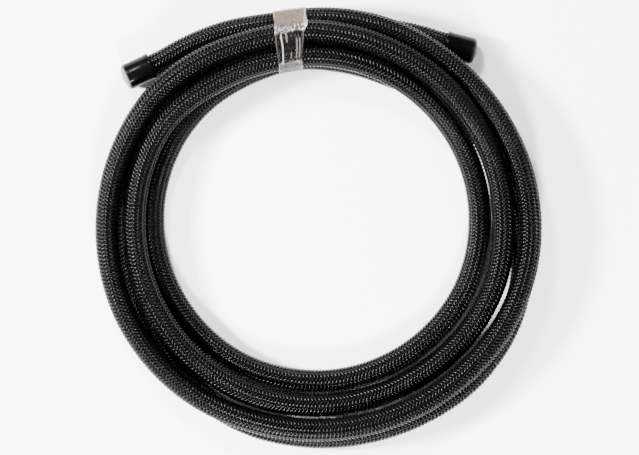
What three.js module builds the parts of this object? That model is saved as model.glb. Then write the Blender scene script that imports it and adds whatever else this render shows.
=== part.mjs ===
// Coil of braided fuel hose with a dust cap on each end and one band of clear tape.
//
// Millimetres, +Z up. The coil lies flat on the floor at z = 0, its axis upright. Seen from above,
// +X is right and +Y is the side with the tape. The hose starts at the left cap, passes under the
// tape, makes three turns side by side in the upper layer from the outside in, drops into the lower
// layer and makes one more turn beneath them, from the inside out, to the right cap.

import * as THREE from 'three';

// Hose.
const hoseDiameter = 14;
const hoseRadius = hoseDiameter / 2;
const hoseSides = 12;
const hoseStep = 2 * hoseDiameter;

// Coil: three turns side by side in the upper layer, a narrow gap apart.
const coilMeanRadius = 111.25;
const coilTurns = 3;
const laneGap = 1.2;
const lanePitch = hoseDiameter + laneGap;
const outerLane = (coilTurns - 1) / 2;
const grooveAngle = 25;
const coilSegments = 60;
const laneArcStep = 30;

// Gap left between pieces that touch.
const touchGap = 0.3;

// Tape band round the bundle: width along the hose, thickness of its layers, place round the coil.
const tapeWidth = 19;
const tapeThickness = 0.5;
const tapeAzimuth = 98.4;
const tapeCorner = hoseRadius;

// Dust caps.
const capWall = 0.7;
const capLength = 18;
const capEndThickness = 1.5;
const capRim = 1.5;
const capSegments = 24;

// Heights of the two layers. The tape passes under the bundle and lifts it off the floor.
const tapeLift = tapeThickness + touchGap;
const floorLayer = hoseRadius;
const tapedLayer = tapeLift + hoseRadius;
const coilLayer = tapedLayer + hoseDiameter + touchGap;
const capRadius = hoseRadius + touchGap + capWall;
const cappedLayer = capRadius;

// Routes of the hose where it isn't coiled, as [lane, azimuth, height]. Lane 0 is under the middle turn
// of the coil, -1 under the innermost and 1 under the outermost.
const underRunRoute = [
  [-1, 136, tapedLayer],
  [-1, 124, tapedLayer],
  [-1, 111, tapedLayer],
  [-1, 98, tapedLayer],
  [-1, 84, tapedLayer],
  [-0.84, 67, floorLayer],
  [-0.51, 50, floorLayer],
  [-0.12, 34, floorLayer],
  [0.34, 18, floorLayer],
  [0.8, 2, floorLayer],
  [1.15, -14, floorLayer],
  [1.35, -30, floorLayer],
  [1.4, -46, floorLayer],
  [1.3, -62, floorLayer],
  [1.21, -78, floorLayer],
  [1.15, -94, floorLayer],
  [1.06, -110, floorLayer],
  [0.72, -126, floorLayer],
  [0.24, -142, floorLayer],
  [0.02, -158, floorLayer],
  [0, -174, floorLayer],
  [0, -190, floorLayer],
  [0, -206, floorLayer],
  [0, -222, floorLayer],
  [0, -236, floorLayer],
  [0, -249, tapedLayer],
  [0, -262, tapedLayer],
  [0.05, -273, tapedLayer],
  [0.4, -284, tapedLayer],
  [0.86, -294, tapedLayer],
];
const tailLeftRoute = [
  [1, 92, tapedLayer],
  [1, 98, tapedLayer],
  [1, 106, tapedLayer],
  [1.05, 115, tapedLayer],
  [1.3, 126, tapedLayer],
];

// Each cap: lane and azimuth of the middle of its open rim, and the heading of the hose's end there.
const rightCapPlace = { lane: 1.38, azimuth: 54.2, heading: -14.3 };
const leftCapPlace = { lane: 1.68, azimuth: 136.4, heading: 204.3 };
const straightAtCap = 6;

const radians = THREE.MathUtils.degToRad;

function laneRadius(lane) {
  return coilMeanRadius + lane * lanePitch;
}

function lanePoint([lane, azimuth, height]) {
  const angle = radians(azimuth);
  return new THREE.Vector3(laneRadius(lane) * Math.cos(angle), laneRadius(lane) * Math.sin(angle), height);
}

// Point on the cap's axis, a distance out from its open rim.
function capPoint(place, outward) {
  const heading = radians(place.heading);
  const point = lanePoint([place.lane, place.azimuth, cappedLayer]);
  return point.add(new THREE.Vector3(outward * Math.cos(heading), outward * Math.sin(heading), 0));
}

// The straight end of the hose inside a cap, from just before the rim to the gap under the cap's end.
function cappedEnd(place) {
  const hoseEnd = capLength - capEndThickness - touchGap;
  return [-straightAtCap, hoseEnd / 2, hoseEnd].map((outward) => capPoint(place, outward));
}

function hoseMaterial() {
  return new THREE.MeshStandardMaterial({ color: 0x17171a, roughness: 0.42, metalness: 0 });
}

function capMaterial() {
  return new THREE.MeshStandardMaterial({ color: 0x0b0b0c, roughness: 0.25, metalness: 0 });
}

function tapeMaterial() {
  return new THREE.MeshStandardMaterial({ color: 0xd9d6cf, roughness: 0.3, metalness: 0 });
}

// A stretch of hose along a route, in straight steps.
function hoseTube(name, points) {
  const route = new THREE.CatmullRomCurve3(points, false, 'centripetal');
  const section = new THREE.Shape();
  for (let side = 0; side < hoseSides; side += 1) {
    const angle = (2 * Math.PI * side) / hoseSides;
    const corner = [hoseRadius * Math.cos(angle), hoseRadius * Math.sin(angle)];
    if (side === 0) section.moveTo(...corner);
    else section.lineTo(...corner);
  }
  section.closePath();
  const steps = Math.round(route.getLength() / hoseStep);
  const geometry = new THREE.ExtrudeGeometry(section, { steps, extrudePath: route, bevelEnabled: false });
  const mesh = new THREE.Mesh(geometry, hoseMaterial());
  mesh.name = name;
  return mesh;
}

// Points on one lane's round section, between two angles counted from its outer side.
function laneArc(lane, fromAngle, toAngle) {
  const count = Math.round(Math.abs(toAngle - fromAngle) / laneArcStep);
  const points = [];
  for (let index = 0; index <= count; index += 1) {
    const angle = radians(fromAngle + ((toAngle - fromAngle) * index) / count);
    const outward = laneRadius(lane) + hoseRadius * Math.cos(angle);
    points.push(new THREE.Vector2(outward, hoseRadius * Math.sin(angle)));
  }
  return points;
}

// The ring of side by side turns: each turn is a round ridge on both faces, with a groove between.
function makeCoil() {
  const under = [];
  const over = [];
  for (let lane = outerLane; lane >= -outerLane; lane -= 1) {
    const outerStop = lane === outerLane ? 0 : grooveAngle;
    const innerStop = lane === -outerLane ? 180 : 180 - grooveAngle;
    over.push(...laneArc(lane, outerStop, innerStop));
    under.push(...laneArc(lane, -outerStop, -innerStop));
  }
  const backUnder = under.slice(1, -1).reverse();
  const profile = [...over, ...backUnder, over[0].clone()];
  const geometry = new THREE.LatheGeometry(profile, coilSegments);
  const mesh = new THREE.Mesh(geometry, hoseMaterial());
  mesh.name = 'hose_coil';
  mesh.rotation.x = Math.PI / 2;
  mesh.position.z = coilLayer;
  return mesh;
}

// A cup with a rounded rim round its flat end, turned so that its open rim faces the coil.
function makeCap(name, place) {
  const innerRadius = hoseRadius + touchGap;
  const profile = [new THREE.Vector2(0, capLength)];
  const rimSteps = 3;
  for (let step = 0; step <= rimSteps; step += 1) {
    const angle = (Math.PI / 2) * (1 - step / rimSteps);
    profile.push(new THREE.Vector2(
      capRadius - capRim + capRim * Math.cos(angle),
      capLength - capRim + capRim * Math.sin(angle),
    ));
  }
  profile.push(
    new THREE.Vector2(capRadius, 0),
    new THREE.Vector2(innerRadius, 0),
    new THREE.Vector2(innerRadius, capLength - capEndThickness),
    new THREE.Vector2(0, capLength - capEndThickness),
  );
  const geometry = new THREE.LatheGeometry(profile.reverse(), capSegments);
  const mesh = new THREE.Mesh(geometry, capMaterial());
  mesh.name = name;
  const outward = capPoint(place, 1).sub(capPoint(place, 0));
  mesh.quaternion.setFromUnitVectors(new THREE.Vector3(0, 1, 0), outward);
  mesh.position.copy(capPoint(place, 0));
  return mesh;
}

// Rectangle with round corners, from its four sides.
function roundedOutline(Outline, left, right, bottom, top, corner) {
  const outline = new Outline();
  outline.absarc(right - corner, bottom + corner, corner, -Math.PI / 2, 0);
  outline.absarc(right - corner, top - corner, corner, 0, Math.PI / 2);
  outline.absarc(left + corner, top - corner, corner, Math.PI / 2, Math.PI);
  outline.absarc(left + corner, bottom + corner, corner, Math.PI, 1.5 * Math.PI);
  outline.closePath();
  return outline;
}

// Closed band round both layers, its width along the hose. The innermost strand bends away within the
// band's width, so the band's inner side keeps clear of the most that one straight step leans there.
function makeTape() {
  const innermost = laneRadius(-outerLane) - hoseRadius;
  const stepLean = (tapeWidth / 2) * (hoseStep / (2 * innermost));
  const near = innermost - stepLean - touchGap;
  const far = laneRadius(outerLane) + hoseRadius + touchGap;
  const top = coilLayer + hoseRadius + touchGap;
  const outline = roundedOutline(
    THREE.Shape, near - tapeThickness, far + tapeThickness, 0, top + tapeThickness, tapeCorner + tapeThickness,
  );
  outline.holes.push(roundedOutline(THREE.Path, near, far, tapeThickness, top, tapeCorner));
  const geometry = new THREE.ExtrudeGeometry(outline, {
    depth: tapeWidth,
    bevelEnabled: false,
    curveSegments: 5,
  });
  geometry.translate(0, 0, -tapeWidth / 2);
  geometry.rotateX(Math.PI / 2);
  const mesh = new THREE.Mesh(geometry, tapeMaterial());
  mesh.name = 'tape_band';
  mesh.rotation.z = radians(tapeAzimuth);
  return mesh;
}

// The whole coil, moved so that the middle of its box stands over the origin.
function makeHose() {
  const model = new THREE.Group();
  model.add(
    makeCoil(),
    hoseTube('hose_under_run', [...underRunRoute.map(lanePoint), ...cappedEnd(rightCapPlace)]),
    hoseTube('hose_tail_left', [...tailLeftRoute.map(lanePoint), ...cappedEnd(leftCapPlace)]),
    makeCap('end_cap_right', rightCapPlace),
    makeCap('end_cap_left', leftCapPlace),
    makeTape(),
  );
  const box = new THREE.Box3().setFromObject(model, true);
  const middle = box.getCenter(new THREE.Vector3());
  model.position.set(-middle.x, -middle.y, -box.min.z);
  const group = new THREE.Group();
  group.add(model);
  return group;
}

export default makeHose();
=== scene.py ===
"""Looks for a coil of braided fuel hose: braid, dust caps, tape band, light and camera.

Metres, +Z up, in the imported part's own frame. The hose is one continuous length. It starts under the
left dust cap, makes three turns side by side from the outside in and one more beneath them from the
inside out, and ends under the right cap. A band of clear tape holds the five strands in a round bundle.
"""
from __future__ import annotations

import logging
import math
from dataclasses import dataclass, field
from enum import Enum
from functools import partial
from operator import mul
from typing import Any, Sequence

import bmesh
import bpy
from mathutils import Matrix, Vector, noise


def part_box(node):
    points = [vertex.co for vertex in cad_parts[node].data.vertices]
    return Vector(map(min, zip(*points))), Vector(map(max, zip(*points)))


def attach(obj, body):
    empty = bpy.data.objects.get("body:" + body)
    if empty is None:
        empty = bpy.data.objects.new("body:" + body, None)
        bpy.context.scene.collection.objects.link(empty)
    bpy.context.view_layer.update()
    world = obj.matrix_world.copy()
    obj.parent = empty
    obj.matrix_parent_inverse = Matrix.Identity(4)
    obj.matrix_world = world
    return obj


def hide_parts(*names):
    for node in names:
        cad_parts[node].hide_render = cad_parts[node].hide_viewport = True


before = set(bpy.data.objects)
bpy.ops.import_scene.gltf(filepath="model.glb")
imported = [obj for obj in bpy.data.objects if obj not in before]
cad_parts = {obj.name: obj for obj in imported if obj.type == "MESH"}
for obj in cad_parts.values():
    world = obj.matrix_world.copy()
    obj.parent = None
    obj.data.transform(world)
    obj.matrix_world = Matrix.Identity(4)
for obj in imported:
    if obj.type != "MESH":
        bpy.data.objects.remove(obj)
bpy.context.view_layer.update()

LOG = logging.getLogger("braided_hose")
MM = 0.001
Station = tuple[float, float, float]
Socket = bpy.types.NodeSocket
Tree = bpy.types.NodeTree
Material = bpy.types.Material
Mesh = bpy.types.Mesh
Item = bpy.types.Object


class Hand(Enum):
    """Which way a braid strand winds round the hose."""

    RIGHT = 1.0
    LEFT = -1.0


class Slot(Enum):
    """Material slots of the record."""

    BRAID = "nylon_braid"
    CAP = "vinyl_cap"
    TAPE = "clear_tape"


def linear(hex_colour: str) -> tuple[float, float, float, float]:
    """Turn an sRGB hex colour into linear light.

    Args:
        hex_colour: Six hex digits after a hash sign.

    Returns:
        Linear red, green, blue and an alpha of one.
    """
    values = [int(hex_colour[start:start + 2], 16) / 255 for start in (1, 3, 5)]
    red, green, blue = (v / 12.92 if v <= 0.04045 else ((v + 0.055) / 1.055) ** 2.4 for v in values)
    return red, green, blue, 1.0


def add_node(tree: Tree, kind: str, inputs: dict[Any, Any] | None = None, **settings: Any) -> bpy.types.Node:
    """Add a node with its settings, and set or link its inputs.

    Args:
        tree: Tree that gets the node.
        kind: Node type.
        inputs: Input name or index, and the value or the socket that feeds it.
        **settings: Properties of the node.

    Returns:
        The new node.
    """
    node = tree.nodes.new(kind)
    for name, value in settings.items():
        setattr(node, name, value)
    for key, value in (inputs or {}).items():
        if isinstance(value, Socket):
            tree.links.new(value, node.inputs[key])
        else:
            node.inputs[key].default_value = value
    return node


def add_maths(tree: Tree, operation: str, *terms: Any, clamp: bool = False) -> Socket:
    """Add a node that works out one number from others, and give its output."""
    node = add_node(tree, "ShaderNodeMath", dict(enumerate(terms)), operation=operation, use_clamp=clamp)
    return node.outputs[0]


class Finish:
    """A new material: its Principled shader and the nodes that feed it."""

    def __init__(self, name: str, values: dict[str, Any]) -> None:
        """Make the material.

        Args:
            name: Name of the material.
            values: Constants for the shader's inputs, by input name.
        """
        self.material = bpy.data.materials.new(name)
        self.material.use_nodes = True
        self.tree = self.material.node_tree
        self.shader = self.tree.nodes["Principled BSDF"]
        for key, value in values.items():
            self.shader.inputs[key].default_value = value
        self.place = add_node(self.tree, "ShaderNodeTexCoord").outputs["Object"]

    def feed(self, key: str, source: Socket) -> None:
        """Link a socket to one of the shader's inputs."""
        self.tree.links.new(source, self.shader.inputs[key])

    def stored(self, name: str) -> Socket:
        """Read a number that the mesh stores."""
        return add_node(self.tree, "ShaderNodeAttribute", attribute_name=name).outputs["Fac"]

    def noise(self, size: float, detail: float, distortion: float = 0.0) -> Socket:
        """Make noise whose spots have a given size."""
        values = {"Vector": self.place, "Scale": 1 / size, "Detail": detail, "Distortion": distortion}
        return add_node(self.tree, "ShaderNodeTexNoise", values).outputs["Fac"]

    def ranged(self, value: Socket, low: float, high: float, start: float = 0.0,
               end: float = 1.0) -> Socket:
        """Map a value, so that start gives low and end gives high."""
        values = {"Value": value, "From Min": start, "From Max": end, "To Min": low, "To Max": high}
        return add_node(self.tree, "ShaderNodeMapRange", values).outputs["Result"]

    def ramp(self, value: Socket, low: str, high: str, start: float = 0.0,
             end: float = 1.0) -> Socket:
        """Turn a value into a colour between two hex colours."""
        ramp = add_node(self.tree, "ShaderNodeValToRGB", {"Fac": value})
        for element, place, colour in zip(ramp.color_ramp.elements, (start, end), (low, high)):
            element.position = place
            element.color = linear(colour)
        return ramp.outputs["Color"]

    def mixed(self, share: Socket, one: Any, other: Any) -> Socket:
        """Blend two colours. The node has inputs of one name for each type, so the colours' go by index."""
        return add_node(self.tree, "ShaderNodeMix", {0: share, 6: one, 7: other}, data_type="RGBA").outputs[2]

    def dent(self, height: Socket, depth: float, strength: float) -> None:
        """Dent the surface, from a height of 0 to 1 and its real depth."""
        values = {"Height": height, "Distance": depth, "Strength": strength}
        self.feed("Normal", add_node(self.tree, "ShaderNodeBump", values).outputs["Normal"])


def smooth_step(value: float) -> float:
    """Ease from 0 to 1 as the value goes from 0 to 1."""
    value = min(max(value, 0.0), 1.0)
    return value * value * (3 - 2 * value)


def spline_value(stations: Sequence[tuple[float, float]], place: float) -> float:
    """Read a smooth curve through stations that never overshoots them.

    Args:
        stations: Places in rising order, each with its value.
        place: Where to read.

    Returns:
        The value there.
    """
    rises = [(after[1] - before[1]) / (after[0] - before[0]) for before, after in zip(stations, stations[1:])]
    slopes = [2 * one * two / (one + two) if one * two > 0 else 0.0 for one, two in zip(rises, rises[1:])]
    slopes = [0.0, *slopes, 0.0]
    index = 0
    while index < len(rises) - 1 and place > stations[index + 1][0]:
        index += 1
    (low, low_value), (high, high_value) = stations[index], stations[index + 1]
    span = high - low
    share = (place - low) / span
    rest = 1 - share
    return (low_value * rest * rest * (1 + 2 * share) + high_value * share * share * (3 - 2 * share)
            + span * share * rest * (slopes[index] * rest - slopes[index + 1] * share))


@dataclass
class HoseRoute:
    """Centreline of the whole hose, from the left cap to the right one.

    Each pass is a list of stations: degrees past the tape, lane and height in millimetres. Lane 0 is the
    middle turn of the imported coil, 1 the outermost and -1 the innermost.

    Attributes:
        diameter: Hose diameter over the braid.
        mean_radius: Radius of the coil's middle turn.
        lane_gap: Gap between turns that lie side by side.
        tape_azimuth: Degrees round the coil's axis at which the tape lies.
        cluster_radius: Distance of the taped bundle's middle from the coil's axis.
        cluster_height: Height of the bundle's middle.
        cluster_turn: Degrees that the bundle's five strands are turned from an upright five-sided ring.
        cluster_slack: Gap between neighbours in the bundle.
        cluster_hold: Degrees on each side of the tape's middle over which it holds the strands.
        cluster_order: Place of each pass under the tape on the ring of five, from the uppermost strand.
        point_step: Degrees between the curve's points.
        samples: Points of the smooth curve in each stretch between two of those.
        smoothing: How often the smooth curve's kinks are evened out.
        cap_height: Height of the caps' axis.
        cap_hose_depth: How far the hose reaches into a cap.
        straight_at_cap: Length of straight hose before a cap.
    """

    diameter: float = 14 * MM
    mean_radius: float = 111.25 * MM
    lane_gap: float = 1.2 * MM
    tape_azimuth: float = 98.4
    cluster_radius: float = 109.6 * MM
    cluster_height: float = 19.8 * MM
    cluster_turn: float = 22.0
    cluster_slack: float = 0.7 * MM
    cluster_hold: float = 5.0
    cluster_order: tuple[int, ...] = (1, 0, 4, 3, 2)
    point_step: float = 10.0
    samples: int = 12
    smoothing: int = 14
    cap_height: float = 8.06 * MM
    cap_hose_depth: float = 16.2 * MM
    straight_at_cap: float = 6 * MM

    # From the left cap to the tape, beside the coil.
    tail_left: tuple[Station, ...] = (
        (-27.6, 1.3, 9.4), (-22, 1.16, 12.2), (-16.6, 1.01, 15.4), (-11, 0.84, 17.8),
    )

    # The three upper turns lie on the last one where it passes beneath them, and sink towards the floor
    # where nothing is under them.
    upper_turns: tuple[tuple[Station, ...], ...] = (
        (
            (20, 0.77, 21.2), (35, 0.8, 21.9), (50, 0.82, 21.9), (62, 0.87, 21.6), (74, 0.94, 21.4),
            (86, 1.03, 21.2), (98, 1.09, 21.1), (110, 1.13, 21.1), (125, 1.1, 21.1), (147, 0.98, 21.1),
            (170, 0.89, 21.1), (188, 0.86, 21.1), (206, 0.9, 21.1), (222, 1.0, 21.0), (238, 1.06, 19.2),
            (254, 1.08, 17.2), (270, 1.02, 16.4), (286, 0.95, 17.2), (302, 0.87, 19.2), (316, 0.79, 22.2),
            (327, 0.62, 25.2), (337, 0.45, 27.8), (347, 0.27, 29.8),
        ),
        (
            (16, 0.13, 30.6), (30, 0.06, 30.2), (45, 0.02, 29.2), (60, 0.01, 27.4), (74, 0.03, 24.4),
            (86, 0.04, 21.8), (98, 0.04, 20.2), (115, 0.11, 17.2), (135, 0.06, 13.8), (160, -0.06, 12.4),
            (188, -0.11, 13.6), (210, -0.06, 17.0), (230, -0.07, 19.0), (255, -0.11, 19.6),
            (280, -0.12, 19.8), (300, -0.11, 20.2), (312, -0.14, 20.8), (322, -0.3, 22.8),
            (332, -0.5, 24.6), (344, -0.63, 25.4),
        ),
        (
            (16, -0.75, 26.0), (35, -0.8, 24.2), (55, -0.84, 21.0), (75, -0.86, 16.6), (98, -0.88, 10.6),
            (120, -0.9, 7.4), (146, -0.98, 7.2), (170, -1.03, 7.2), (188, -1.03, 7.2), (206, -1.0, 7.2),
            (222, -0.95, 7.2), (242, -0.92, 7.2), (258, -0.88, 7.2), (270, -0.84, 7.2), (282, -0.82, 7.3),
            (300, -0.78, 7.6), (318, -0.76, 9.0), (332, -0.8, 11.2), (345, -0.84, 12.6),
        ),
    )

    # The last turn, on the floor beneath the others: from the inside out, then back under the middle.
    under_run: tuple[Station, ...] = (
        (14.4, -0.87, 10.4), (31.4, -0.86, 7.2), (48.4, -0.53, 7.2), (64.4, -0.12, 7.2), (80.4, 0.34, 7.2),
        (96.4, 0.74, 7.2), (112.4, 1.06, 7.2), (128.4, 1.32, 7.2), (144.4, 1.4, 7.2), (160.4, 1.3, 7.2),
        (176.4, 1.22, 7.2), (192.4, 1.16, 7.2), (208.4, 1.1, 7.2), (224.4, 0.82, 7.2), (240.4, 0.5, 7.2),
        (256.4, 0.34, 7.2), (272.4, 0.3, 7.2), (288.4, 0.3, 7.2), (304.4, 0.28, 7.2), (320.4, 0.2, 7.2),
        (334.4, 0.1, 7.2), (347.4, 0.05, 7.6),
    )
    tail_right: tuple[Station, ...] = (
        (10, 0.12, 7.9), (17, 0.36, 7.8), (24, 0.64, 7.8), (31, 0.86, 7.9), (38, 1.12, 8.0),
    )
    right_cap: Station = (1.38, 54.2, -14.3)
    left_cap: Station = (1.68, 136.4, 204.3)

    centre: Vector = field(default_factory=Vector)

    def __post_init__(self) -> None:
        """Find the coil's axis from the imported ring."""
        low, high = (Vector(corner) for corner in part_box("hose_coil"))
        self.centre = Vector(((low.x + high.x) / 2, (low.y + high.y) / 2, 0))

    def lane_point(self, lane: float, azimuth: float, height: float) -> Vector:
        """Place a point by its lane, azimuth and height.

        Args:
            lane: Lane number, 0 at the middle turn.
            azimuth: Degrees round the coil's axis from +X.
            height: Height above the floor.

        Returns:
            The point in the part's frame.
        """
        radius = self.mean_radius + lane * (self.diameter + self.lane_gap)
        angle = math.radians(azimuth)
        return self.centre + Vector((radius * math.cos(angle), radius * math.sin(angle), height))

    def cluster_offset(self, strand: int) -> tuple[float, float]:
        """Find a strand's place in the taped bundle.

        Args:
            strand: Which of the five passes under the tape, counted along the hose.

        Returns:
            Offset outwards and offset upwards from the bundle's middle.
        """
        ring = (self.diameter + self.cluster_slack) / 2 / math.sin(math.pi / 5)
        angle = math.radians(self.cluster_turn + 72 * self.cluster_order[strand])
        return ring * math.sin(angle), ring * math.cos(angle)

    def held(self, strand: int, past: float) -> Station:
        """Give the station where the tape holds a strand.

        Args:
            strand: Which of the five passes under the tape, counted along the hose.
            past: Degrees past the tape.

        Returns:
            The station.
        """
        outward, upward = self.cluster_offset(strand)
        lane = (self.cluster_radius + outward - self.mean_radius) / (self.diameter + self.lane_gap)
        return past, lane, (self.cluster_height + upward) / MM

    def cap_axis(self, cap: Station) -> tuple[Vector, Vector]:
        """Find a cap's axis.

        Args:
            cap: Lane and azimuth of the cap's rim, and the heading of the hose there.

        Returns:
            The middle of the rim, and the direction in which the cap points.
        """
        lane, azimuth, heading = cap
        angle = math.radians(heading)
        return self.lane_point(lane, azimuth, self.cap_height), Vector((math.cos(angle), math.sin(angle), 0))

    def capped_end(self, cap: Station) -> list[Vector]:
        """List the hose's points in a cap, from before its rim to the hose's end.

        Args:
            cap: Lane and azimuth of the cap's rim, and the heading of the hose there.

        Returns:
            Three points on the cap's axis.
        """
        rim, along = self.cap_axis(cap)
        depths = (-self.straight_at_cap, self.cap_hose_depth / 2, self.cap_hose_depth)
        return [rim + along * depth for depth in depths]

    def laid(self, stations: Sequence[Station]) -> list[Vector]:
        """Lay points along stations, one every point step or so.

        Args:
            stations: Degrees past the tape, lane and height in millimetres, in rising order.

        Returns:
            The points.
        """
        first, last = stations[0][0], stations[-1][0]
        count = max(round((last - first) / self.point_step), 1)
        points = []
        for index in range(count + 1):
            past = first + (last - first) * index / count
            lane = spline_value([(s[0], s[1]) for s in stations], past)
            height = spline_value([(s[0], s[2]) for s in stations], past) * MM
            points.append(self.lane_point(lane, self.tape_azimuth - past, height))
        return points

    def control_points(self) -> list[Vector]:
        """List the route's points from the left cap's end to the right cap's end."""
        hold = self.cluster_hold
        points = list(reversed(self.capped_end(self.left_cap)))
        points += self.laid([*self.tail_left, self.held(0, -hold)])
        for number, stations in enumerate((*self.upper_turns, self.under_run)):
            points += self.laid([self.held(number, hold), *stations, self.held(number + 1, 360 - hold)])
        points += self.laid([self.held(4, hold), *self.tail_right])
        return points + self.capped_end(self.right_cap)

    def centreline(self, spacing: float) -> list[Vector]:
        """Run a smooth curve through the route's points, evenly spaced.

        Args:
            spacing: Wanted distance between points.

        Returns:
            Points of the centreline.
        """
        control = self.control_points()
        control = [control[0] * 2 - control[1], *control, control[-1] * 2 - control[-2]]
        dense: list[Vector] = []
        for before, start, end, after in zip(control, control[1:], control[2:], control[3:]):
            dense += catmull_rom(before, start, end, after, self.samples)
        dense.append(control[-2])
        return even_points(relaxed(dense, self.smoothing), spacing)


def catmull_rom(before: Vector, start: Vector, end: Vector, after: Vector, count: int) -> list[Vector]:
    """Sample one stretch of a centripetal Catmull-Rom curve.

    Args:
        before: Point before the stretch.
        start: First point of the stretch.
        end: Last point of the stretch.
        after: Point after the stretch.
        count: Samples, without the last point.

    Returns:
        The samples.
    """
    knots = [0.0]
    for one, two in ((before, start), (start, end), (end, after)):
        knots.append(knots[-1] + max(math.sqrt((two - one).length), 1e-6))
    samples = []
    for index in range(count):
        place = knots[1] + (knots[2] - knots[1]) * index / count
        first = before.lerp(start, (place - knots[0]) / (knots[1] - knots[0]))
        second = start.lerp(end, (place - knots[1]) / (knots[2] - knots[1]))
        third = end.lerp(after, (place - knots[2]) / (knots[3] - knots[2]))
        left = first.lerp(second, (place - knots[0]) / (knots[2] - knots[0]))
        right = second.lerp(third, (place - knots[1]) / (knots[3] - knots[1]))
        samples.append(left.lerp(right, (place - knots[1]) / (knots[2] - knots[1])))
    return samples


def relaxed(points: list[Vector], passes: int) -> list[Vector]:
    """Even out small kinks by averaging neighbours, with the ends kept.

    Args:
        points: Points of a curve.
        passes: How often each point moves half way to its neighbours' middle.

    Returns:
        The smoother points.
    """
    for _ in range(passes):
        middles = [(a + b * 2 + c) / 4 for a, b, c in zip(points, points[1:], points[2:])]
        points = [points[0], *middles, points[-1]]
    return points


def even_points(points: Sequence[Vector], spacing: float) -> list[Vector]:
    """Space a curve's points evenly.

    Args:
        points: Points of the curve.
        spacing: Wanted distance between points.

    Returns:
        Points an equal distance apart, the ends included.
    """
    lengths = [0.0]
    for start, end in zip(points, points[1:]):
        lengths.append(lengths[-1] + (end - start).length)
    count = round(lengths[-1] / spacing)
    spaced = []
    index = 0
    for step in range(count + 1):
        goal = lengths[-1] * step / count
        while index < len(points) - 2 and lengths[index + 1] < goal:
            index += 1
        share = (goal - lengths[index]) / (lengths[index + 1] - lengths[index])
        spaced.append(points[index].lerp(points[index + 1], share))
    return spaced


@dataclass(frozen=True)
class BraidedNylon:
    """Bright black nylon yarn: black in itself, with a sharp gleam along the crown of each yarn.

    Fine noise makes the gleam a little uneven, and some yarns are a shade paler than others.
    """

    colour: str = "#000000"
    pale: str = "#050505"
    roughness: float = 0.22
    smoother: float = 0.03
    rougher: float = 0.06
    ior: float = 1.53
    gleam: float = 0.11
    wear_size: float = 1 / 900

    def build(self) -> Material:
        """Make the yarns' material."""
        finish = Finish("braided_black_nylon", {"IOR": self.ior, "Specular IOR Level": self.gleam})
        wear = finish.noise(self.wear_size, detail=3.0)
        tone = add_maths(finish.tree, "MULTIPLY", finish.stored("yarn_tone"), wear)
        finish.feed("Base Color", finish.ramp(tone, self.colour, self.pale))
        finish.feed("Roughness", finish.ranged(wear, self.roughness - self.smoother,
                                               self.roughness + self.rougher, start=0.3, end=0.7))
        return finish.material


@dataclass(frozen=True)
class LinerRubber:
    """Extruded black nitrile rubber under the braid: dull, seen only as the dark between the yarns."""

    colour: str = "#030303"
    roughness: float = 0.7
    uneven: float = 0.1
    gleam: float = 0.1
    grain: float = 0.4 * MM

    def build(self) -> Material:
        """Make the rubber's material."""
        finish = Finish("nitrile_rubber_liner", {"Base Color": linear(self.colour),
                                                 "Specular IOR Level": self.gleam})
        finish.feed("Roughness", finish.ranged(finish.noise(self.grain, detail=2.0),
                                               self.roughness - self.uneven, self.roughness + self.uneven))
        return finish.material


@dataclass(frozen=True)
class DippedVinyl:
    """Dip-moulded soft vinyl: glossy black, wavy and scuffed, with a painted reflection on the closed end:
    dull grey and rougher gloss in place of the bright floor reflecting in it.
    """

    colour: str = "#030303"
    scuff: str = "#0e0e0f"
    # Grey of the painted reflection on the closed end.
    reflection_grey: str = "#6d6c6a"
    roughness: float = 0.16
    scuffed: float = 0.22
    dulled: float = 0.4
    ior: float = 1.54
    gleam: float = 0.05
    wave: float = 5 * MM
    wave_depth: float = 0.12 * MM
    scuff_size: float = 0.5 * MM

    def build(self) -> Material:
        """Make the caps' material."""
        finish = Finish("dip_moulded_vinyl", {"IOR": self.ior, "Specular IOR Level": self.gleam})
        fine = finish.noise(self.scuff_size, detail=6.0)
        skin = finish.ramp(fine, self.colour, self.scuff, start=0.55, end=0.85)
        # Painted reflection: dull grey, with rougher gloss, mixed in on the closed end where the bright floor
        # reflects.
        painted_reflection_share = finish.stored("cap_painted_reflection")
        finish.feed("Base Color", finish.mixed(painted_reflection_share, skin, linear(self.reflection_grey)))
        gloss = finish.ranged(fine, self.roughness, self.roughness + self.scuffed, start=0.4, end=0.8)
        finish.feed("Roughness", add_maths(finish.tree, "MULTIPLY_ADD", painted_reflection_share, self.dulled, gloss))
        finish.dent(finish.noise(self.wave, detail=1.0), self.wave_depth, 1.0)
        return finish.material


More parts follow.
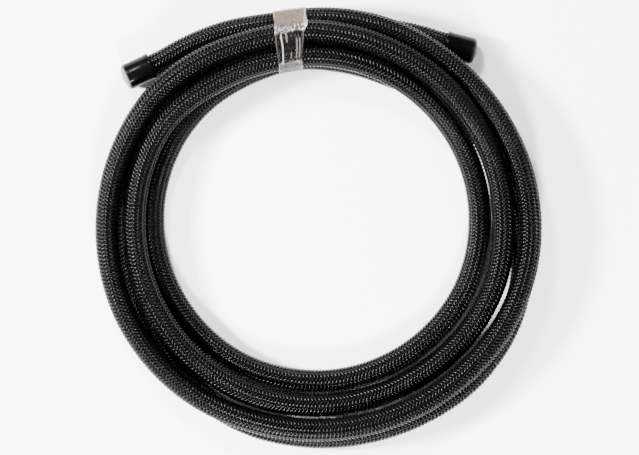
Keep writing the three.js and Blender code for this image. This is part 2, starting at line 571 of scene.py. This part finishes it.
@dataclass(frozen=True)
class ClearTape:
    """Clear polypropylene tape, several layers deep.

    It is clear and shows the braid where it lies tight, whitish where air and creases sit under it, and
    yellowish where the layers of glue add up. Painted light is added too: a white painted highlight along
    sharp folds and in glints on the crumpled border, and a paler inner side where light falls on it.
    """

    clear: str = "#0b0b0b"
    aired: str = "#6f6c6a"
    glue: str = "#6a5f4c"
    # White of the painted highlight on sharp folds and crinkles.
    gleam: str = "#f0eee8"
    roughness: float = 0.2
    shine: float = 0.25
    ior: float = 1.49
    crumple: float = 1.1 * MM
    crumple_depth: float = 0.2 * MM
    thinnest: float = 0.03
    thickest: float = 0.6

    def build(self) -> Material:
        """Make the tape's material."""
        finish = Finish("clear_packing_tape", {"IOR": self.ior, "Specular IOR Level": self.shine,
                                               "Roughness": self.roughness})
        fold = finish.noise(self.crumple, detail=4.0, distortion=1.6)
        swing = finish.ranged(fold, -0.5, 0.5, start=0.3, end=0.7)
        # The whitish share holds the film's cloudiness together with its painted light, highlights and
        # glints.
        cloud_and_light = add_maths(finish.tree, "MULTIPLY_ADD", swing, finish.stored("tape_crumple"),
                          finish.stored("tape_cloud_and_painted_light"), clamp=True)
        whitish = finish.mixed(finish.stored("tape_glue"), linear(self.aired), linear(self.glue))
        veiled = finish.mixed(finish.ranged(cloud_and_light, 0.0, 1.0, end=0.5), linear(self.clear), whitish)
        # Painted highlight: the most whitish film turns white where folds and crinkles would gleam.
        bright = finish.mixed(finish.ranged(cloud_and_light, 0.0, 1.0, start=0.55), veiled, linear(self.gleam))
        finish.feed("Base Color", bright)
        finish.feed("Alpha", finish.ranged(cloud_and_light, self.thinnest, self.thickest))
        finish.dent(fold, self.crumple_depth, 0.7)
        return finish.material


@dataclass
class BraidedHose:
    """The hose: a rubber liner along the route and the braid round it.

    Attributes:
        liner_radius: Radius of the rubber under the braid.
        liner_sides: Flat sides of the rubber tube.
        liner_step: Distance between the liner's rings.
        carriers: Yarns that wind each way.
        lead: Length of hose in which a yarn goes once round.
        braid_radius: Radius of the middle of the braid.
        wave: How far a yarn rises and dips as it passes over two others and under two.
        yarn_width: Width of a yarn.
        yarn_thickness: Thickness of a yarn.
        group: Yarns in one piece.
        seed: Seed for how pale each yarn is.
        inputs: Inputs of the braid's node tree.
        centres: The hose's centreline, once it is built.
    """

    route: HoseRoute
    liner_radius: float = 5.75 * MM
    liner_sides: int = 20
    liner_step: float = 3 * MM
    carriers: int = 12
    lead: float = 26.7 * MM
    braid_radius: float = 6.26 * MM
    wave: float = 0.42 * MM
    yarn_width: float = 1.34 * MM
    yarn_thickness: float = 0.66 * MM
    group: int = 6
    seed: int = 7
    inputs: tuple[str, ...] = ("Hand", "First Yarn", "Yarn Count", "Carriers", "Lead", "Braid Radius", "Wave",
                               "Yarn Width", "Yarn Thickness", "Seed", "Yarn Material")
    centres: list[Vector] = field(default_factory=list)

    def build(self) -> tuple[Item, list[Item]]:
        """Returns:
            The liner, and the braid's pieces.
        """
        self.centres = self.route.centreline(self.liner_step)
        liner = self.build_liner()
        yarn = BraidedNylon().build()
        tree = self.braid_tree()
        pieces = []
        for hand in Hand:
            for first in range(0, self.carriers, self.group):
                pieces.append(self.build_yarns(tree, hand, first, yarn))
        return liner, pieces

    def centre_curve(self) -> Item:
        """Make a curve object of one open spline along the hose."""
        data = bpy.data.curves.new("hose_route", "CURVE")
        data.dimensions = "3D"
        spline = data.splines.new("POLY")
        spline.points.add(len(self.centres) - 1)
        for point, centre in zip(spline.points, self.centres):
            point.co = (*centre, 1.0)
        return linked("hose_route", data)

    def build_liner(self) -> Item:
        """Sweep the rubber liner along the route."""
        tree = bpy.data.node_groups.new("hose_liner", "GeometryNodeTree")
        declare(tree, {"Liner Radius": "NodeSocketFloat", "Liner Sides": "NodeSocketInt",
                       "Liner Material": "NodeSocketMaterial"})
        source = add_node(tree, "NodeGroupInput").outputs
        ring = add_node(tree, "GeometryNodeCurvePrimitiveCircle",
                        {"Resolution": source["Liner Sides"], "Radius": source["Liner Radius"]})
        tube = add_node(tree, "GeometryNodeCurveToMesh",
                        {"Curve": source["Geometry"], "Profile Curve": ring.outputs[0], "Fill Caps": True})
        finish_tree(tree, tube.outputs["Mesh"], source["Liner Material"])
        values = {"Liner Radius": self.liner_radius, "Liner Sides": self.liner_sides,
                  "Liner Material": LinerRubber().build()}
        return realised("hose", self.centre_curve(), tree, values)

    def build_yarns(self, tree: Tree, hand: Hand, first: int,
                    yarn: Material) -> Item:
        """Wind one group of yarns round the hose.

        Args:
            tree: The braid's node tree.
            hand: Which way the yarns wind.
            first: Number of the group's first yarn.
            yarn: The yarn's material.

        Returns:
            The group as one mesh object.
        """
        values = (hand.value, first, self.group, self.carriers, self.lead, self.braid_radius, self.wave,
                  self.yarn_width, self.yarn_thickness, self.seed, yarn)
        name = f"braid_{hand.name.lower()}_{first // self.group + 1}"
        return realised(name, self.centre_curve(), tree, dict(zip(self.inputs, values)))

    def braid_tree(self) -> Tree:
        """Build the node tree that winds yarns round a curve, over two and under two."""
        tree = bpy.data.node_groups.new("braid_yarns", "GeometryNodeTree")
        kinds = {name: "NodeSocketFloat" for name in self.inputs}
        kinds.update(dict.fromkeys(("First Yarn", "Yarn Count", "Carriers", "Seed"), "NodeSocketInt"))
        kinds["Yarn Material"] = "NodeSocketMaterial"
        declare(tree, kinds)
        source = add_node(tree, "NodeGroupInput").outputs

        maths = partial(add_maths, tree)

        def vectors(operation: str, *terms: Any, scale: Any = None) -> Socket:
            """Work out one vector from others."""
            inputs = dict(enumerate(terms)) | ({"Scale": scale} if scale is not None else {})
            return add_node(tree, "ShaderNodeVectorMath", inputs, operation=operation).outputs["Vector"]

        # A yarn meets one of the other hand every half share of the lead, and has one ring between two
        # meetings, so that each stretch on top of the braid has a ring at its crest.
        crossings = maths("MULTIPLY", source["Carriers"], 2.0)
        length = add_node(tree, "GeometryNodeCurveLength", {"Curve": source["Geometry"]}).outputs["Length"]
        steps = maths("ROUND", maths("DIVIDE", maths("MULTIPLY", length, crossings), source["Lead"]))
        line = add_node(tree, "GeometryNodeCurvePrimitiveLine")
        fine = add_node(tree, "GeometryNodeResampleCurve",
                        {"Curve": line.outputs["Curve"], "Count": maths("ADD", steps, 1.0)})
        copies = add_node(tree, "GeometryNodeDuplicateElements",
                          {"Geometry": fine.outputs[0], "Amount": source["Yarn Count"]}, domain="SPLINE")
        along = add_node(tree, "GeometryNodeSplineParameter").outputs["Factor"]
        yarn = maths("ADD", copies.outputs["Duplicate Index"], source["First Yarn"])
        start = maths("DIVIDE", maths("MULTIPLY", yarn, math.tau), source["Carriers"])
        passed = maths("ADD", maths("MULTIPLY", along, steps), 0.5)
        wound = maths("DIVIDE", maths("MULTIPLY", passed, math.tau), crossings)
        angle = maths("ADD", start, maths("MULTIPLY", wound, source["Hand"]))

        # The yarns of one hand lie uppermost where those of the other dip, in columns along the hose.
        waves = maths("DIVIDE", source["Carriers"], 2.0)
        phase = maths("SUBTRACT", maths("MULTIPLY", angle, waves), math.pi / 4)
        height = maths("MULTIPLY", maths("MULTIPLY", maths("COSINE", phase), math.sqrt(2)), source["Wave"])
        radius = maths("ADD", source["Braid Radius"], maths("MULTIPLY", height, source["Hand"]))

        sample = add_node(tree, "GeometryNodeSampleCurve", {"Curves": source["Geometry"], "Factor": along},
                          mode="FACTOR").outputs
        side = vectors("CROSS_PRODUCT", sample["Tangent"], sample["Normal"])
        outward = vectors("ADD", vectors("SCALE", sample["Normal"], scale=maths("COSINE", angle)),
                          vectors("SCALE", side, scale=maths("SINE", angle)))
        place = vectors("ADD", sample["Position"], vectors("SCALE", outward, scale=radius))
        stored = add_node(tree, "GeometryNodeStoreNamedAttribute",
                          {"Geometry": copies.outputs["Geometry"], "Name": "yarn_outward", "Value": outward},
                          data_type="FLOAT_VECTOR", domain="POINT")
        chance = add_node(tree, "FunctionNodeRandomValue", {"ID": yarn, "Seed": source["Seed"]},
                          data_type="FLOAT").outputs["Value"]
        toned = add_node(tree, "GeometryNodeStoreNamedAttribute",
                         {"Geometry": stored.outputs[0], "Name": "yarn_tone", "Value": chance},
                         data_type="FLOAT", domain="POINT")
        placed = add_node(tree, "GeometryNodeSetPosition", {"Geometry": toned.outputs[0], "Position": place})
        kept = add_node(tree, "GeometryNodeInputNamedAttribute", {"Name": "yarn_outward"},
                        data_type="FLOAT_VECTOR")
        faced = add_node(tree, "GeometryNodeSetCurveNormal",
                         {"Curve": placed.outputs[0], "Normal": kept.outputs["Attribute"]}, mode="FREE")

        # A yarn is a flat bundle: its section has one corner outwards, so that its back is a low crown.
        section = add_node(tree, "GeometryNodeCurvePrimitiveCircle", {"Resolution": 5, "Radius": 0.5})
        spot = add_node(tree, "GeometryNodeInputPosition").outputs["Position"]
        flattened = add_node(tree, "ShaderNodeCombineXYZ", {"X": source["Yarn Thickness"],
                                                            "Y": source["Yarn Width"], "Z": 1.0})
        crowned = add_node(tree, "GeometryNodeSetPosition",
                           {"Geometry": section.outputs["Curve"],
                            "Position": vectors("MULTIPLY", spot, flattened.outputs["Vector"])})
        tube = add_node(tree, "GeometryNodeCurveToMesh",
                        {"Curve": faced.outputs[0], "Profile Curve": crowned.outputs[0], "Fill Caps": True})
        finish_tree(tree, tube.outputs["Mesh"], source["Yarn Material"])
        return tree


def declare(tree: Tree, kinds: dict[str, str]) -> None:
    """Give a geometry tree its input and output sockets.

    Args:
        tree: The tree.
        kinds: Each input's name and socket type.
    """
    tree.interface.new_socket("Geometry", in_out="OUTPUT", socket_type="NodeSocketGeometry")
    tree.interface.new_socket("Geometry", in_out="INPUT", socket_type="NodeSocketGeometry")
    for name, kind in kinds.items():
        tree.interface.new_socket(name, in_out="INPUT", socket_type=kind)


def finish_tree(tree: Tree, mesh: Socket, material: Socket) -> None:
    """End a geometry tree: smooth faces, real instances and the material.

    Args:
        tree: The tree.
        mesh: Socket with the finished mesh.
        material: Socket with its material.
    """
    smooth = add_node(tree, "GeometryNodeSetShadeSmooth", {"Geometry": mesh})
    real = add_node(tree, "GeometryNodeRealizeInstances", {"Geometry": smooth.outputs[0]})
    dressed = add_node(tree, "GeometryNodeSetMaterial", {"Geometry": real.outputs[0], "Material": material})
    add_node(tree, "NodeGroupOutput", {"Geometry": dressed.outputs[0]})


def realised(name: str, source: Item, tree: Tree,
             values: dict[str, Any]) -> Item:
    """Run a geometry tree on an object and keep the result as a plain mesh object.

    Args:
        name: Name of the new piece.
        source: Object that the tree works on, removed afterwards.
        tree: The geometry tree.
        values: The tree's inputs by name.

    Returns:
        The piece.
    """
    modifier = source.modifiers.new(name, "NODES")
    modifier.node_group = tree
    for item in tree.interface.items_tree:
        if item.item_type == "SOCKET" and item.in_out == "INPUT" and item.name in values:
            modifier[item.identifier] = values[item.name]
    bpy.context.view_layer.update()
    evaluated = source.evaluated_get(bpy.context.evaluated_depsgraph_get())
    mesh = bpy.data.meshes.new_from_object(evaluated)
    mesh.name = name
    source.modifiers.remove(modifier)
    bpy.data.objects.remove(source)
    return linked(name, mesh)


def linked(name: str, data: bpy.types.ID) -> Item:
    """Put a mesh, curve, camera or light in the scene as an object at the origin."""
    item = bpy.data.objects.new(name, data)
    bpy.context.scene.collection.objects.link(item)
    return item


def grid_mesh(name: str, rows: Sequence[Sequence[Vector]], material: Material,
              close_rows: bool) -> Mesh:
    """Join rows of points into a smooth mesh, with each row closed on itself.

    Args:
        name: Name of the mesh.
        rows: Rings of points, each as long as the others.
        material: Its material.
        close_rows: Whether the last row joins the first.

    Returns:
        The mesh.
    """
    width = len(rows[0])
    verts = [tuple(point) for row in rows for point in row]
    faces = []
    for row in range(len(rows) if close_rows else len(rows) - 1):
        here, after = row * width, (row + 1) % len(rows) * width
        for column in range(width):
            side = (column + 1) % width
            faces.append((here + column, here + side, after + side, after + column))
    mesh = bpy.data.meshes.new(name)
    mesh.from_pydata(verts, [], faces)
    mesh.materials.append(material)
    mesh.polygons.foreach_set("use_smooth", [True] * len(mesh.polygons))
    return mesh


@dataclass
class DustCap:
    """A dip-moulded cap pushed over the hose's end.

    Attributes:
        node: CAD part that the cap replaces.
        place: Lane and azimuth of the open rim's middle, and the heading of the closed end.
        seed: Where the skin's unevenness is read.
        painted_reflection_share: How much of the dull grey painted reflection lies on the closed end, from 0
            to 1.
        corner: Radius of the rounded edge of the closed end.
        corner_from: Angle from the axis at which that edge starts, in radians.
        dome: How far the closed end bulges.
        bead: How far the open rim's thick edge stands out.
        nub: Radius of the drip left in the middle of the closed end.
        uneven: How far the skin is out of round, and uneven_size the length of its waves.
        floor_gap: Least height of the skin above the floor.
    """

    name: str
    node: str
    route: HoseRoute
    place: Station
    seed: float
    painted_reflection_share: float
    length: float = 19.2 * MM
    radius: float = 8 * MM
    inner_radius: float = 7.15 * MM
    corner: float = 2.6 * MM
    corner_from: float = 0.3
    corner_steps: int = 6
    dome: float = 0.9 * MM
    end_thickness: float = 1.5 * MM
    bead: float = 0.35 * MM
    nub: float = 1.1 * MM
    nub_height: float = 0.5 * MM
    uneven: float = 0.09 * MM
    uneven_size: float = 6 * MM
    floor_gap: float = 0.02 * MM
    sides: int = 64

    def profile(self) -> list[tuple[float, float]]:
        """List the skin's section as distance along the cap and radius, from the nub to the inner end."""
        end, radius, corner = self.length, self.radius, self.corner
        nub_base = end - 0.08 * MM
        # The drip in the middle, the domed end and its round edge.
        points = [(nub_base + self.nub_height * math.cos(a), self.nub * math.sin(a))
                  for a in (0.15, 0.55, 0.95, 1.3)]
        points.append((nub_base, self.nub * 1.35))
        points.append((end - 0.25 * self.dome, radius * 0.4))
        shoulder = end - self.dome - corner
        for step in range(self.corner_steps + 1):
            turn = self.corner_from + (math.pi / 2 - self.corner_from) * step / self.corner_steps
            points.append((shoulder + corner * math.cos(turn), radius - corner + corner * math.sin(turn)))
        # The side, which narrows a little, the thick open rim, and the inside.
        rim = radius + self.bead
        points += [(end * 0.55, radius - 0.08 * MM), (end * 0.16, radius), (end * 0.1, rim - 0.1 * MM),
                   (end * 0.06, rim), (0.25 * MM, rim - 0.02 * MM), (0, rim - 0.25 * MM),
                   (0, self.inner_radius + 0.15 * MM), (0.2 * MM, self.inner_radius)]
        inner_end = end - self.end_thickness
        points += [(inner_end * 0.5, self.inner_radius), (inner_end, self.inner_radius),
                   (inner_end, self.inner_radius * 0.5), (inner_end, 0.15 * MM)]
        return points

    def build(self, vinyl: Material) -> Item:
        """Turn the skin round the cap's axis, a little out of true.

        Args:
            vinyl: The cap's material.

        Returns:
            The cap.
        """
        rim, along = self.route.cap_axis(self.place)
        side = Vector((-along.y, along.x, 0))
        up = Vector((0, 0, 1))
        reach_down = self.route.cap_height - self.floor_gap
        rows = []
        for far, radius in self.profile():
            ring = []
            for index in range(self.sides):
                turn = math.tau * index / self.sides
                outward, upward = math.cos(turn), math.sin(turn)
                dent = noise.noise(Vector((outward, upward, far / self.uneven_size + self.seed)))
                swell = radius + self.uneven * dent * min(radius / self.radius, 1)
                # The underside is pressed flat where it would reach into the floor.
                if upward < -0.9:
                    swell = min(swell, reach_down / -upward)
                ring.append(rim + along * far + (side * outward + up * upward) * swell)
            rows.append(ring)
        mesh = grid_mesh(self.name, rows, vinyl, close_rows=False)
        close_ends(mesh, len(rows), self.sides)
        face_outwards(mesh)
        # Store the painted reflection's share, which grows over the rounded edge onto the closed end.
        grey = mesh.attributes.new("cap_painted_reflection", "FLOAT", "POINT")
        blunt = self.length - self.dome - self.corner
        for index, vertex in enumerate(mesh.vertices):
            far = (vertex.co - rim).dot(along)
            grey.data[index].value = self.painted_reflection_share * smooth_step((far - blunt) / (0.7 * self.corner))
        return linked(self.name, mesh)


def close_ends(mesh: Mesh, rows: int, width: int) -> None:
    """Close the first and last ring of a grid mesh with one face each."""
    work = bmesh.new()
    work.from_mesh(mesh)
    work.verts.ensure_lookup_table()
    for row in (0, rows - 1):
        face = work.faces.new([work.verts[row * width + column] for column in range(width)])
        face.smooth = True
    work.to_mesh(mesh)
    work.free()


def face_outwards(mesh: Mesh) -> None:
    """Turn a closed mesh's faces outwards."""
    work = bmesh.new()
    work.from_mesh(mesh)
    bmesh.ops.recalc_face_normals(work, faces=work.faces)
    if work.calc_volume(signed=True) < 0:
        bmesh.ops.reverse_faces(work, faces=work.faces)
    work.to_mesh(mesh)
    work.free()


@dataclass
class TapeBand:
    """Clear tape wound several times round the bundle, creased and with air under it.

    Attributes:
        outer_azimuth: Degrees round the coil's axis at which the tape's outer side lies.
        half_angle: Half of the tape's width, in degrees round the coil.
        skew: Degrees by which the tape's inner side lies further round than its outer side.
        clearance: Gap between the braid and the film's tight wrap.
        thickness: Thickness of the layers together.
        crease: Size of the folds, out from the bundle.
        edge_wave: How uneven the tape's edges are, as a share of its width.
        lowest: Height of the film's outer and inner face where the bundle lies on the floor.
        flap: Degrees by which a loose flap sticks out past the tape's right edge.
        highlight_streaks: Painted highlights along sharp folds that run round the bundle: place across the
            tape from -1 to 1, the distances out from the bundle's middle in mm between which one shows, and
            how bright it is.
        highlight_streak_width: Half of such a painted highlight's width, as a share of half the tape's.
        outer_from: Distance out in mm from which the film is yellowish.
        glint_border_from: Distance out in mm from which the crumpled border beside that shows, bright with
            painted glints.
        lit_inner_from: Distance out in mm below which the inner side is paler with painted light.
        edge_from: Share across the tape from which its edges are whitish.
        whitish: How whitish the film is everywhere, and how much more on its outer side, on the border with
            its
        painted glints, on the inner side with its painted light, along a fold's painted highlight and along
        the edges.
        crumpled: The same for how much it is crumpled.
    """

    route: HoseRoute
    outer_azimuth: float = 97.4
    half_angle: float = 4.3
    skew: float = 2.4
    clearance: float = 0.12 * MM
    thickness: float = 0.16 * MM
    crease: float = 0.3 * MM
    edge_wave: float = 0.035
    lowest: tuple[float, float] = (0.25 * MM, 0.4 * MM)
    flap: float = 1.2
    around: int = 220
    across: int = 32
    point_gap: float = 0.55 * MM
    highlight_streaks: tuple[tuple[float, float, float, float], ...] = (
        (0.56, 5, -13, 1.0), (0.2, 5, -1, 0.7), (-0.1, -7, -11, 0.45), (-0.52, 1, -11, 0.6),
        (-0.74, 1, -11, 0.6),
    )
    highlight_streak_width: float = 0.085
    outer_from: float = 8.6
    glint_border_from: float = 4.2
    lit_inner_from: float = -11.8
    edge_from: float = 0.86
    whitish: tuple[float, ...] = (0.05, 0.39, 0.32, 0.34, 0.9, 0.25)
    crumpled: tuple[float, ...] = (0.12, 0.22, 1.5, 0.28, 0.0, 0.0)

    def hull_distance(self, turn: float) -> float:
        """Measure the bundle's tight wrap in one direction.

        Args:
            turn: Direction from the bundle's middle, in radians from outwards towards up.

        Returns:
            Distance to the wrap's tangent line in that direction.
        """
        reach = 0.0
        for strand in range(5):
            outward, upward = self.route.cluster_offset(strand)
            reach = max(reach, outward * math.cos(turn) + upward * math.sin(turn))
        return reach + self.route.diameter / 2 + self.clearance

    def wrap(self) -> list[tuple[float, float]]:
        """Trace the tight wrap as offsets outwards and upwards, evenly round it."""
        points = []
        small = 1e-3
        for index in range(self.around):
            turn = math.tau * index / self.around
            reach = self.hull_distance(turn)
            slope = (self.hull_distance(turn + small) - self.hull_distance(turn - small)) / (2 * small)
            points.append(Vector((reach * math.cos(turn) - slope * math.sin(turn),
                                  reach * math.sin(turn) + slope * math.cos(turn), 0)))
        closed = even_points([*points, points[0]], self.point_gap)
        return [(point.x, point.y) for point in closed[:-1]]

    def build(self, film: Material) -> Item:
        """Build the creased band.

        Args:
            film: The tape's material.

        Returns:
            The band.
        """
        wrap = self.wrap()
        outer: list[list[Vector]] = []
        inner: list[list[Vector]] = []
        for column in range(self.across + 1):
            share = column / self.across * 2 - 1
            outer.append([])
            inner.append([])
            for index, (outward, upward) in enumerate(wrap):
                turn = math.tau * index / len(wrap)
                fold = self.fold(turn, share)
                away = math.hypot(outward, upward)
                azimuth = self.outer_azimuth
                azimuth += self.half_angle * share * (1 + self.edge_wave * math.sin(5 * turn))
                azimuth += self.skew * (1 - (outward / away + 1) / 2)
                azimuth -= self.flap * self.flap_share(outward, upward, share)
                for rows, grow, least in zip((outer, inner), (fold + self.thickness, fold), self.lowest):
                    scale = (away + grow) / away
                    height = max(self.route.cluster_height + upward * scale, least)
                    radius = self.route.cluster_radius + outward * scale
                    angle = math.radians(azimuth)
                    rows[-1].append(self.route.centre + Vector((radius * math.cos(angle),
                                                                radius * math.sin(angle), height)))
        mesh = grid_mesh("tape", [*outer, *reversed(inner)], film, close_rows=True)
        face_outwards(mesh)
        self.mark_cloud_and_light(mesh)
        return linked("tape", mesh)

    def fold(self, turn: float, share: float) -> float:
        """Give the film's distance out from the tight wrap.

        Args:
            turn: Place round the bundle, in radians.
            share: Place across the tape, from -1 to 1.

        Returns:
            The distance.
        """
        near = Vector((math.cos(turn) * 4.2, math.sin(turn) * 4.2, share * 0.9))
        ridges = 1 - abs(noise.noise(near + Vector((3.1, 0, 0)))) * 2
        sharp = max(ridges, 0) ** 3
        slow = noise.noise(near * 0.5) * 0.5 + 0.5
        return self.crease * (0.65 * sharp + 0.35 * slow)

    def flap_share(self, outward: float, upward: float, share: float) -> float:
        """Give how much of the loose flap shows at one place, from 0 to 1."""
        if upward < 0 or share > 0:
            return 0.0
        near = max(1 - abs(outward / MM - 9.5) / 6.5, 0.0)
        return smooth_step(near) * smooth_step((-share - 0.55) / 0.45)

    def mark_cloud_and_light(self, mesh: Mesh) -> None:
        """Store how whitish, crumpled and yellowish the film is at each point; whitish holds painted light on
        the inner side and painted highlights on folds and the crumpled border.

        Args:
            mesh: The tape's mesh.
        """
        layers = {name: mesh.attributes.new(name, "FLOAT", "POINT")
                  for name in ("tape_cloud_and_painted_light", "tape_crumple", "tape_glue")}
        for index, vertex in enumerate(mesh.vertices):
            flat = vertex.co.xy - self.route.centre.xy
            reach = (flat.length - self.route.cluster_radius) / MM
            azimuth = math.degrees(math.atan2(flat.y, flat.x))
            share = (azimuth - self.outer_azimuth - self.skew * (0.5 - reach / 40)) / self.half_angle
            ragged = reach + 1.2 * noise.noise(vertex.co / (2.5 * MM))
            outer = smooth_step((ragged - self.outer_from) / 1.2)
            # Crumpled border with painted glints: whitish and strongly crumpled, so its colour swings into
            # the painted highlight.
            glint_border = smooth_step((ragged - self.glint_border_from) / 1.2) * (1 - outer)
            # Painted light: the inner side is paler where light falls on it.
            inner = smooth_step((self.lit_inner_from - ragged) / 1.6)
            # Painted highlights along sharp folds that run round the bundle.
            highlight_streak = 0.0
            for across, start, end, strength in self.highlight_streaks:
                near = max(1 - abs(share - across - 0.03 * math.sin(reach / 3)) / self.highlight_streak_width, 0.0)
                along = smooth_step((start - reach) / 1.5 + 0.5) * smooth_step((reach - end) / 1.5 + 0.5)
                highlight_streak = max(highlight_streak, smooth_step(near) * along * strength)
            edge = smooth_step((abs(share) - self.edge_from) / (1 - self.edge_from))
            shares = (1.0, outer, glint_border, inner, highlight_streak, edge)
            values = (sum(map(mul, self.whitish, shares)), sum(map(mul, self.crumpled, shares)), outer)
            for layer, value in zip(layers.values(), values):
                layer.data[index].value = value


@dataclass
class Studio:
    """Pale floor, soft light and a camera straight above the coil.

    Attributes:
        pixel: Real size of one of the photograph's pixels on the coil.
        width_px: Width of the photograph in pixels.
        centre_px: The coil axis's place in the photograph.
        middle_px: The photograph's middle.
        camera_height: Height of the camera above the floor.
        coil_height: Height at which a pixel has that size.
        sky: Strength of the pale sky.
        box_size: Width of a soft box.
        boxes: Each soft box's name, place and power in watts.
    """

    route: HoseRoute
    pixel: float = 0.6 * MM
    width_px: float = 639.0
    centre_px: tuple[float, float] = (317.0, 222.5)
    middle_px: tuple[float, float] = (319.5, 227.5)
    camera_height: float = 2.6
    coil_height: float = 0.015
    sensor: float = 36.0
    floor_size: float = 4.0
    floor_colour: str = "#ffffff"
    sky: float = 0.5
    box_size: float = 0.3
    boxes: tuple[tuple[str, tuple[float, float, float], float], ...] = (
        ("box_left", (-1.5, 0.1, 1.1), 230.0), ("box_right", (1.4, 0.5, 1.3), 20.0),
        ("box_front", (0.1, -1.4, 1.1), 120.0), ("box_back", (-0.48, 1.07, 1.4), 60.0),
    )

    def build_camera(self) -> None:
        """Place the camera above the coil, looking straight down, framed as in the photograph."""
        data = bpy.data.cameras.new("camera")
        item = linked("camera", data)
        across = (self.middle_px[0] - self.centre_px[0]) * self.pixel
        down = (self.middle_px[1] - self.centre_px[1]) * self.pixel
        item.location = self.route.centre + Vector((across, -down, self.camera_height))
        data.sensor_width = self.sensor
        data.lens = self.sensor * (self.camera_height - self.coil_height) / (self.width_px * self.pixel)
        data.clip_end = 20
        bpy.context.scene.camera = item

    def build_floor(self) -> None:
        """Lay a matt white floor."""
        half = self.floor_size / 2
        mesh = bpy.data.meshes.new("floor")
        mesh.from_pydata([(-half, -half, 0), (half, -half, 0), (half, half, 0), (-half, half, 0)], [],
                         [(0, 1, 2, 3)])
        paper = Finish("matt_white_paper", {"Base Color": linear(self.floor_colour), "Roughness": 1.0,
                                            "Specular IOR Level": 0.0})
        mesh.materials.append(paper.material)
        linked("floor", mesh)

    def build_light(self) -> None:
        """Light the coil from soft boxes round it and a pale sky."""
        world = bpy.data.worlds.new("studio_sky")
        world.use_nodes = True
        background = world.node_tree.nodes["Background"]
        background.inputs["Color"].default_value = linear("#ffffff")
        background.inputs["Strength"].default_value = self.sky
        bpy.context.scene.world = world
        for name, place, power in self.boxes:
            data = bpy.data.lights.new(name, "AREA")
            data.shape = "SQUARE"
            data.size = self.box_size
            data.energy = power
            item = linked(name, data)
            item.location = place
            item.rotation_euler = (-Vector(place)).to_track_quat("-Z", "Y").to_euler()


def main() -> None:
    logging.basicConfig(level=logging.INFO, format="%(message)s")
    route = HoseRoute()
    studio = Studio(route)
    studio.build_camera()
    hose = BraidedHose(route)
    liner, braid = hose.build()
    vinyl = DippedVinyl().build()
    # The last number is each cap's share of painted reflection on its closed end.
    left = DustCap("cap_left", "end_cap_left", route, route.left_cap, 1.7, 0.9)
    right = DustCap("cap_right", "end_cap_right", route, route.right_cap, 5.3, 0.05)
    caps = [(cap, cap.build(vinyl)) for cap in (left, right)]
    tape = TapeBand(route).build(ClearTape().build())

    for piece in (liner, *braid):
        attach(piece, "root")
    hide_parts("hose_coil", "hose_under_run", "hose_tail_left")
    for cap, piece in caps:
        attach(piece, "root")
        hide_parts(cap.node)
    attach(tape, "root")
    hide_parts("tape_band")
    studio.build_floor()
    studio.build_light()
    for piece in (liner, *braid, *(piece for _, piece in caps), tape):
        LOG.info("%s: %d faces", piece.name, len(piece.data.polygons))


if __name__ == "__main__":
    main()
